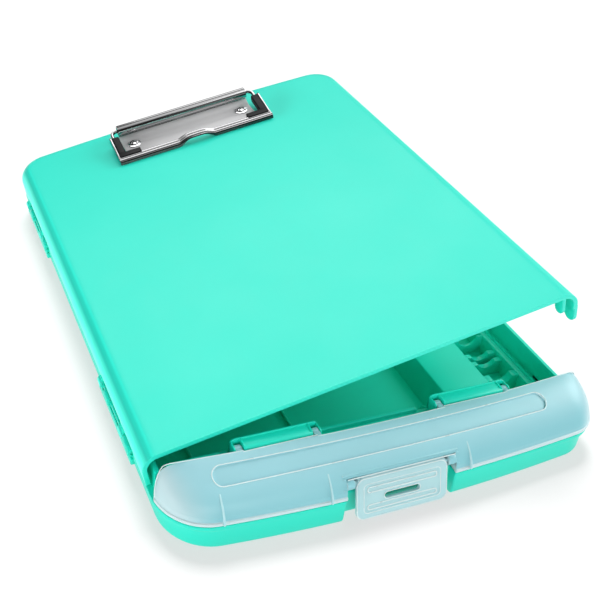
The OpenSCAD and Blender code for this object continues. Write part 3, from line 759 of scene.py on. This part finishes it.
def lid_shell():
    ob = lid_form(0, 16)
    ob.name = "lid_shell"
    boolean(ob, lid_plan(0, 10, 45), "INTERSECT")
    cut = prism("c", groove_path(0, 4.7), "Z", 25, 45)
    inner = lid_form(0, 16)
    inner.data.transform(Matrix.Translation((0, 0, -0.9 * MM)))
    boolean(cut, inner)
    boolean(ob, cut)
    cav = lid_form(1.8, 10)
    boolean(cav, lid_plan(1.8, 5, 45), "INTERSECT")
    boolean(ob, cav)
    cav = lid_form(1.8, 10)
    boolean(cav, box("c", (-200, -156, 0), (200, -130, 28.4)), "INTERSECT")
    boolean(ob, cav)
    for s in (-1, 1):
        x0, x1 = (37.4, 75.6) if s > 0 else (-75.6, -37.4)
        boolean(ob, box("c", (x0, LHY - 4.1, 20), (x1, -130, 60)))
    boolean(ob, box("c", (-NOTCH, -200, 10), (NOTCH, -163.2, 26.3)))
    bevel(ob, 0.35, 3, 32, 40)
    return ob


def lid_lines():
    """Fine raised beads: round the groove and along the flange. Their pale material paints the highlights along these
    edges.
    """
    obs = []
    path = [(x, y, lid_height(x, y) + 0.02) for x, y in groove_path(0, 5.0, 60)]
    path.append(path[0])
    obs.append(sweep("p", path, 0.30, 8))

    def rear(x, d=0.35):
        y = bow(x, 123, LID_RY, 5.4) - d
        return (x, y, lid_height(x, y) - 0.12)

    for xa, xb in ((-HL + 7, -76.2), (-36.8, 36.8), (76.2, HR - 4)):
        path = [rear(x) for x in np.linspace(xa, xb, 24)]
        if xa < -100:
            w = HL - 0.2
            arc = [(-w + 6 - 5.8 * math.cos(a), -146.0 + 5.8 * math.sin(a)) for a in np.radians(np.linspace(3, 84, 14))]
            path = [(x, y, lid_height(x, y) - 0.1) for x, y in arc] + path
        obs.append(sweep("p", path, 0.26, 8))
    for s in (-1, 1):
        y = LHY - 4.1 - 0.35
        obs.append(sweep("p", [(x * s, y, lid_height(x, y) - 0.12) for x in np.linspace(36.6, 76.4, 12)], 0.26, 8))
    obs.append(sweep("p", [(x, -168.25, 26.54) for x in np.linspace(-NOTCH + 0.5, NOTCH - 0.5, 12)], 0.3, 12))
    for z, t, r in ((SEAM + 0.75, -0.05, 0.28), (SEAM + 1.75, -0.05, 0.26)):
        o = [(x, y) for x, y in outline(t + 0.4, HL - 0.2, HR + 0.8, nb=90, nc=20) if y < -143]
        k = max(range(len(o)), key=lambda i: math.hypot(o[i][0] - o[i - 1][0], o[i][1] - o[i - 1][1]))
        o = o[k:] + o[:k]
        left = [(x, y, z) for x, y in o if x < -NOTCH - 0.6]
        right = [(x, y, z) for x, y in o if x > NOTCH + 0.6]
        for part in (left, right):
            obs.append(sweep("p", part, r, 8))
    return join("lid_lines", obs, 60)


def lid_edge(a, d):
    q = math.radians(a)
    return (YF + 27 * (1 - math.cos(q)) - d * math.cos(q), lid_point(a)[0] + d * math.sin(q))


def lid_fins():
    obs = []
    for x in (-94, -39.5, 39.5):
        a = np.linspace(3, 46, 12)
        front = [lid_edge(q, 1.3 * (1 - i / 11)) for i, q in enumerate(a)]
        back = [lid_edge(q, -1.0) for q in a[::-1]]
        dy = bow(x, 122, 0, BOW_F)
        obs.append(prism("p", [(y + dy, z) for y, z in front + back], "X", x - 0.5, x + 0.5, width=0.25, angle=60))
    return join("lid_fins", obs)


def lid_fittings():
    obs = []
    n2 = NOTCH
    obs.append(bevel(box("p", (-n2 - 1.8, -163.2, 16.5), (n2 + 1.8, -161.4, 27.9)), 0.3))
    obs.append(bevel(box("p", (-n2 - 1.8, -166.6, 26.3), (n2 + 1.8, -161.4, 27.9)), 0.3))
    for s in (-1, 1):
        x0, x1 = (n2, n2 + 1.8) if s > 0 else (-n2 - 1.8, -n2)
        obs.append(bevel(box("p", (x0, -170.6, 16.5), (x1, -161.4, 22)), 0.3))
        obs.append(bevel(box("p", (x0, -167.6, 16.5), (x1, -161.4, 26.6)), 0.3))
        a, b = (26.7, n2 + 0.1) if s > 0 else (-n2 - 0.1, -26.7)
        obs.append(rod("p", "X", a, b, (0, AHY, AHZ), 2.8, PR + 0.06, 0.4))
        obs.append(bevel(box("p", (a, AHY + 1.4, AHZ), (b, -162.8, 26.7)), 0.3))
        for x, d in (((37.4, 1), (75.6, -1)) if s > 0 else ((-75.6, 1), (-37.4, -1))):
            lo, hi = sorted((x, x - 3.4 * d))
            obs.append(rod("p", "X", lo, hi, (0, LHY, LHZ), 2.5, 0, 0.4))
            obs.append(bevel(box("p", (lo, -145.8, LHZ - 1.4), (hi, LHY, LHZ + 2.2)), 0.4))
            lo, hi = sorted((x - d, x + 6 * d))
            obs.append(rod("p", "X", lo, hi, (0, LHY, LHZ), PR, 0, 0.2))
    return join("lid_fittings", obs)


# ------------------------------------------------------------------ latch
def rrect(w, z0, z1, r, n=12):
    """Rounded rectangle in (x, z), counter-clockwise, n points a quarter plus the straights."""
    pts = []
    hw, cz0, cz1 = w / 2 - r, z0 + r, z1 - r
    for cx, cz, a0 in ((hw, cz0, -90), (hw, cz1, 0), (-hw, cz1, 90), (-hw, cz0, 180)):
        pts += [(cx + r * math.cos(math.radians(a0 + 90 * i / n)), cz + r * math.sin(math.radians(a0 + 90 * i / n))) for i in range(n + 1)]
    return pts


def latch():
    def L(w, z0, z1, r, y):
        return [(x, y, z) for x, z in rrect(w, z0, z1, r)]
    W = 52
    f = -2.3
    rings = [L(W - 1.2, -19.8, 2.0, 4.0, f + 0.0), L(W - 8.4, -17.3, -1.1, 2.4, f)]
    rings = [
        L(20, -11.5, -8.3, 1.59, -0.1),
        L(W - 1.6, -19.6, 1.8, 3.8, -0.1), L(W - 0.5, -20.15, 2.35, 4.35, -0.25), L(W, -20.4, 2.6, 4.6, -0.8),
        L(W, -20.4, 2.6, 4.6, f + 1.2), L(W - 0.5, -20.15, 2.35, 4.35, f + 0.55), L(W - 1.8, -19.5, 1.7, 3.7, f + 0.12), L(W - 3.2, -18.8, 1.0, 3.2, f),
        L(W - 7.6, -17.4, -1.0, 2.5, f), L(W - 8.6, -16.95, -1.45, 2.1, f + 0.15), L(W - 9.2, -16.7, -1.7, 1.9, f + 0.5),
        L(20.9, -11.9, -7.9, 1.95, f + 0.5), L(20.2, -11.6, -8.2, 1.65, f + 0.7),
        L(20, -11.5, -8.3, 1.59, f + 1.0), L(20, -11.5, -8.3, 1.59, -0.1),
    ]
    v, fc = loft(rings, False, False)
    ob = make("latch_plate", v, fc, sharp=32)
    obs = [ob]
    obs.append(rod("p", "X", -W / 2 + 1, W / 2 - 1, (0, 0, 0), 2.2, 0, 0.5))
    obs.append(rod("p", "X", -30.2, 30.2, (0, 0, 0), PR, 0, 0.25))
    obs.append(bevel(box("p", (-18, -0.3, -17.6), (18, 3.5, -16.2)), 0.3))
    one = join("lid_latch_piece", obs, 35)
    one.data.transform(Matrix.Translation((0, AHY * MM, AHZ * MM)) @ Matrix.Rotation(-LEAN, 4, "X"))
    return one


def latch_lines():
    # pale beads that paint the highlights along the latch's moulded lines
    obs = []
    for w, z0, z1, r, y, q in ((51.3, -20.05, 1.9, 4.1, -1.95, 0.3), (43.9, -17.2, -1.2, 2.3, -2.18, 0.24), (20.6, -11.8, -8.0, 1.85, -1.85, 0.24)):
        ring = [(x, y, z) for x, z in rrect(w, z0, z1, r)]
        obs.append(sweep("p", ring + [ring[0]], q, 8))
    for z0, z1 in ((-6.2, -3.4), (-15.6, -13.0)):
        ring = [(x, -1.95, z) for x, z in rrect(39.4, z0, z1, 1.2, 6)]
        obs.append(sweep("p", ring + [ring[0]], 0.34, 8))
    one = join("latch_line_piece", obs, 60)
    one.data.transform(Matrix.Translation((0, AHY * MM, AHZ * MM)) @ Matrix.Rotation(-LEAN, 4, "X"))
    return one


# ------------------------------------------------------------------ paper clip, in the closed cover's place
def clip_plate():
    z = TOP
    line = [(130.6, z + 0.5), (138, z + 0.5), (146.5, z + 0.5)]
    line += [(148.6, z + 0.62), (150.2, z + 1.1), (151.6, z + 1.95), (154.0, z + 3.55), (156.0, z + 4.9)]
    line += [(CHY + 3.3 * math.cos(math.radians(a)), CHZ + 3.3 * math.sin(math.radians(a))) for a in range(-50, 268, 12)]
    ob = strip("clip_plate", line, 0.95, -49, 49)
    for s in (-1, 1):
        boolean(ob, rod("c", "Z", z - 2, z + 3, (41 * s, 144, 0), 2.05, edge=0.01))
    bevel(ob, 0.22, 2, 60)
    ob.data.transform(CLIP)
    return ob


def rivet(s):
    z = TOP
    prof = [(0, -WALL - 1.8), (2.8, -WALL - 1.8), (3.1, -WALL - 1.55), (3.2, -WALL - 1.03), (2, -WALL - 1.03), (2, 1.03),
            (4.75, 1.03), (4.85, 1.25), (4.7, 1.5), (4.3, 1.62), (3.9, 1.62), (3.6, 1.8), (3.35, 2.2), (2.9, 2.5), (2.0, 2.72), (1.0, 2.8), (0, 2.8)]
    ob = lathe("clip_rivet_" + ("right" if s > 0 else "left"), prof, (41 * s, 144, z), "Z", 48)
    for i in range(6):
        r = 0 if i == 5 else 2.35
        a = math.radians(90 + 72 * i)
        prof = [(0, 1.75), (0.55, 1.85), (0.7, 2.3), (0.75, 3.2), (0, 3.2)]
        boolean(ob, lathe("c", prof, (41 * s + r * math.cos(a), 144 + r * math.sin(a), z), "Z", 14))
    ob.data.transform(CLIP)
    return ob


def washer(s):
    z = TOP - WALL - 1.02
    prof = [(2.05, 0.1), (2.2, 0), (4.5, 0), (4.8, 0.25), (4.8, 0.75), (4.5, 1.0), (2.2, 1.0), (2.05, 0.9), (2.05, 0.1)]
    ob = lathe("clip_washer_" + ("right" if s > 0 else "left"), prof, (41 * s, 144, z), "Z", 40)
    ob.data.transform(CLIP)
    return ob


def wire():
    pts = []
    for s in (-1, 1):
        y1, z1 = CHY - 22 * math.sin(math.radians(101)), CHZ + 22 * math.cos(math.radians(101))
        dy, dz = (y1 - CHY) / 22, (z1 - CHZ) / 22
        side = [(s * 53.4, y1, z1), (s * 53.7, CHY + dy * 12, CHZ + dz * 12), (s * 53.9, CHY + dy * 5, CHZ + dz * 5)]
        for k in range(1, 6):
            a = math.radians(90 * k / 6)
            side.append((s * (53.9 - 4 * (1 - math.cos(a))), CHY + dy * 4 * (1 - math.sin(a)), CHZ + dz * 4 * (1 - math.sin(a))))
        side.append((s * 49.2, CHY, CHZ))
        pts += side if s < 0 else side[::-1]
    ob = sweep("clip_wire", pts, 1.25, 20)
    ob.data.transform(CLIP)
    return ob


def jaw():
    z = TOP
    J = 57.0
    xs = sorted(set([-J, J] + list(np.linspace(-J, -15, 12)) + list(np.linspace(-15, 15, 61)) + list(np.linspace(15, J, 12))))

    def lift(x):
        if abs(x) >= 14:
            return 0.0
        t = 1 - (x / 14) ** 2
        return t * t * (3 - 2 * t) if t < 1 else 1.0

    rings = []
    for x in xs:
        k = lift(x)
        top = 3.7 + 2.5 * k
        low = 0.5 + 4.1 * k
        fr = 122.0 + 0.2 * k
        line = [(fr, low), (fr + 0.1, low + 0.4), (fr + 0.25, top - 0.95), (fr + 0.65, top - 0.3), (fr + 1.25, top), (fr + 1.9, top - 0.1), (fr + 2.5, top - 0.55),
                (fr + 3.2, top - 0.65), (fr + 3.9, top - 0.2), (fr + 4.5, top), (fr + 5.1, top - 0.15), (fr + 5.4, top - 0.7), (fr + 5.45, top - 1.5 + 0.3 * k)]
        P = [Vector(p) for p in line]
        left, right = [], []
        for i, p in enumerate(P):
            t = (P[min(i + 1, len(P) - 1)] - P[max(i - 1, 0)]).normalized()
            nrm = Vector((-t.y, t.x)) * 0.5
            left.append(p + nrm)
            right.append(p - nrm)
        rings.append([(x, q.x, z + q.y) for q in left + right[::-1]])
    v, f = loft(rings)
    obs = [make("p", v, f, sharp=45)]
    for s in (-1, 1):
        x0, x1 = (J - 1.2, J) if s > 0 else (-J, -J + 1.2)
        pts = [(122.2, 0.5), (128, 0.8), (146, 3.1), (148.6, 4.2), (149.9, 5.6), (149.4, 7.4), (147.6, 8.9), (145.6, 9.1), (136, 6.6), (128, 4.5), (124.0, 3.8), (122.6, 3.0), (122.2, 2.0)]
        obs.append(prism("p", [(y, z + q) for y, q in pts], "X", x0, x1, width=0.35, segments=3, angle=50))
    ob = join("clip_jaw_piece", obs, 45)
    ob.data.transform(CLIP)
    return ob


def grip(s):
    z = TOP
    a = 57 - 1.3
    x0, x1 = (a - 5.2, a) if s > 0 else (-a, -a + 5.2)
    side = prism("p", [(129.5, z + 1.2), (146.6, z + 3.8), (147.2, z + 6.5), (146.6, z + 9.2), (136.0, z + 6.9), (129.5, z + 5.2)], "X", x0, x1, width=0.9, segments=4, angle=25)
    x0, x1 = (a - 15.6, a) if s > 0 else (-a, -a + 15.6)
    foot = prism("p", [(129.5, z + 1.2), (131.2, z + 1.2), (131.4, z + 4.3), (130.6, z + 5.2), (126.0, z + 5.05), (125.7, z + 4.4), (129.5, z + 4.3)], "X", x0, x1, width=0.25, segments=2, angle=40)
    ob = join("clip_grip_" + ("right" if s > 0 else "left"), [side, foot])
    ob.data.transform(CLIP)
    return ob


# ------------------------------------------------------------------ build and dress
dress(tray_shell(), GREEN_TRAY, "base", "tray", "base_tray")
dress(tray_inside(), GREEN_TRAY, "base", "tray", "base_tray")
for tag, y0 in (("front", HINGE_Y[0]), ("rear", HINGE_Y[1])):
    dress(rod("hinge_pin_" + tag, "Y", y0 + 0.6, y0 + 59.4, (HX, 0, HZ), PR, 0, 0.3), GREEN_TRAY, "base", "tray", "cover_hinge_pin_" + tag)
dress(cover_shell(), GREEN_WITH_PAINTED_LIGHT, "cover", "cover", "top_cover")
dress(cover_fittings(), GREEN_WITH_PAINTED_LIGHT, "cover", "cover", "top_cover")
dress(lid_shell(), FROST, "lid", "frosted", "compartment_lid")
dress(lid_fittings(), FROST, "lid", "frosted", "compartment_lid")
dress(lid_fins(), FROST_LATCH, "lid", "frosted", "compartment_lid")
dress(lid_lines(), FROST_HIGHLIGHT_LINE, "lid", "frosted", "compartment_lid")
dress(latch(), FROST_LATCH, "latch", "frosted", "lid_latch")
dress(latch_lines(), FROST_HIGHLIGHT_LINE, "latch", "frosted", "lid_latch")
plate = dress(clip_plate(), STEEL, "cover", "plate_steel", "clip_base_plate")
plate.data.materials.append(STEEL_FLAT)
for face in plate.data.polygons:
    if (CLIP.inverted() @ face.center).z < (TOP + 4.2) * MM:
        face.material_index = 1
for s in (-1, 1):
    dress(rivet(s), RIVET, "cover", "plate_steel", "clip_rivets")
    dress(washer(s), RIVET, "cover", "plate_steel", "clip_rivet_washers")
    dress(grip(s), BLACK, "clip", "grip", "clip_corner_grip_" + ("right" if s > 0 else "left"))
dress(wire(), CHROME, "clip", "bright_steel", "clip_spring_wire")
dress(jaw(), CHROME, "clip", "bright_steel", "clip_jaw")

# ------------------------------------------------------------------ floor, light, camera
v, f = [(-3000, -3000, 0), (3000, -3000, 0), (3000, 3000, 0), (-3000, 3000, 0)], [(0, 1, 2, 3)]
floor = make("floor", v, f)
m, nt, b, _ = nodes_of("floor_paper")
nz = noise(nt, 3.0)
link(nt, ramp(nt, nz.outputs["Fac"], [(0.3, (0.215, 0.215, 0.215)), (0.7, (0.225, 0.225, 0.225))]).outputs["Color"], b.inputs["Base Color"])
b.inputs["Emission Color"].default_value = (1, 1, 1, 1)
b.inputs["Emission Strength"].default_value = 0.66
b.inputs["Roughness"].default_value = 0.95
b.inputs["Specular IOR Level"].default_value = 0.1
floor.data.materials.append(m)

world = bpy.data.worlds.new("studio")
SC.world = world
world.use_nodes = True
wt = world.node_tree
bg = wt.nodes["Background"]
tc = wt.nodes.new("ShaderNodeTexCoord")
sky = wt.nodes.new("ShaderNodeVectorMath")
sky.operation = "DOT_PRODUCT"
sky.inputs[1].default_value = (0.48, 0.10, 0.84)
wt.links.new(tc.outputs["Generated"], sky.inputs[0])
wr = ramp(wt, sky.outputs["Value"], [(0.0, (0.06, 0.06, 0.06)), (0.25, (0.10, 0.10, 0.10)), (0.46, (0.60, 0.60, 0.60)), (0.74, (1.0, 1.0, 1.0))])
seen = wt.nodes.new("ShaderNodeLightPath")
plain = wt.nodes.new("ShaderNodeMix")
plain.data_type = "RGBA"
plain.inputs["B"].default_value = (1.8, 1.8, 1.8, 1)
wt.links.new(seen.outputs["Is Camera Ray"], plain.inputs["Factor"])
wt.links.new(wr.outputs["Color"], plain.inputs["A"])
wt.links.new(plain.outputs["Result"], bg.inputs["Color"])
bg.inputs["Strength"].default_value = 0.55


def area(name, loc, target, size, power, size_y=None, color=(1, 1, 1)):
    li = bpy.data.lights.new(name, "AREA")
    li.energy, li.color = power, color
    li.size = size
    if size_y:
        li.shape, li.size_y = "RECTANGLE", size_y
    ob = bpy.data.objects.new(name, li)
    SC.collection.objects.link(ob)
    ob.location = loc
    ob.rotation_euler = (Vector(target) - Vector(loc)).to_track_quat("-Z", "Y").to_euler()
    return ob


def only_for(lamp, name, objects):
    """Keeps a light to some objects."""
    c = bpy.data.collections.new(name)
    for o in objects:
        c.objects.link(o)
    lamp.light_linking.receiver_collection = c


pieces = [o for o in SC.objects if o.type == "MESH" and o is not floor]
bright = [o for o in pieces if o.data.materials[0] in (CHROME, STEEL)]
for lamp in (area("key_softbox", (2.1, -0.1, 1.55), (0, 0, 0), 1.3, 38, 1.3),
             area("left_strip", (-1.5, 0.0, 0.22), (0, 0, 0.02), 1.8, 12, 0.3)):
    only_for(lamp, lamp.name + "_on", pieces)
# the mirror-bright steel sees cards of its own in place of these two
for lamp in (area("top_softbox", (0.1, 0.85, 1.4), (0, 0.05, 0), 1.2, 8, 1.0),
             area("front_softbox", (-0.3, -1.6, 0.55), (0, -0.05, 0.02), 1.4, 11, 0.6)):
    only_for(lamp, lamp.name + "_on", [o for o in pieces if o not in bright])
shells = [o for o in pieces if o.data.materials and o.data.materials[0] is GREEN_WITH_PAINTED_LIGHT]
cover_strip = area("cover_strip", (-1.5, 0.1, 0.10), (0, 0, 0.03), 1.8, 5, 0.2)
only_for(cover_strip, "cover_strip_on", shells)
for lamp in (cover_strip, SC.objects["left_strip"]):
    lamp.visible_glossy = False
# a card that only the plated steel mirrors
steel = [o for o in pieces if o.data.materials and o.data.materials[0] in (CHROME, STEEL, RIVET)]
only_for(area("steel_card_2", (0.40, -0.38, 0.85), (0, 0.14, 0.07), 0.9, 1.5, 0.45), "steel_card_2_on", steel)
only_for(area("steel_card", (0.45, 1.15, 0.85), (0, 0.14, 0.07), 1.5, 5.6, 1.2), "steel_card_on", steel)
# a soft sun that only the floor receives: it sets the neutral shadow the object casts
sun = bpy.data.lights.new("floor_sun", "SUN")
sun.energy, sun.angle = 6.0, math.radians(26)
sun_ob = bpy.data.objects.new("floor_sun", sun)
SC.collection.objects.link(sun_ob)
sun_ob.rotation_euler = (-Vector((0.14, 0.74, 1.15))).to_track_quat("-Z", "Y").to_euler()
only_for(sun_ob, "floor_sun_on", [floor])

az, el, roll = math.radians(-24.803), math.radians(33.356), math.radians(5.671)
back = Vector((math.sin(az) * math.cos(el), -math.cos(az) * math.cos(el), math.sin(el)))
loc = Vector((0.007445, 0.063307, 0)) + back * 0.667599
xa = Vector((0, 0, 1)).cross(back).normalized()
ya = back.cross(xa)
x2 = math.cos(roll) * xa + math.sin(roll) * ya
y2 = -math.sin(roll) * xa + math.cos(roll) * ya
cam_data = bpy.data.cameras.new("camera")
cam = bpy.data.objects.new("camera", cam_data)
SC.collection.objects.link(cam)
cam.matrix_world = Matrix(((x2.x, y2.x, back.x, loc.x), (x2.y, y2.y, back.y, loc.y), (x2.z, y2.z, back.z, loc.z), (0, 0, 0, 1)))
cam_data.sensor_fit = "HORIZONTAL"
cam_data.sensor_width = 36
cam_data.lens = 962.571 / 608 * 36
cam_data.shift_x = (304 - 239.72) / 608
cam_data.shift_y = (256.83 - 304) / 608
cam_data.clip_start, cam_data.clip_end = 0.01, 50
cam_data.dof.use_dof = False
SC.camera = cam
SC.view_settings.view_transform = "Standard"
SC.view_settings.look = "None"
SC.view_settings.exposure = 0
SC.view_settings.gamma = 1
SC.cycles.use_denoising = True
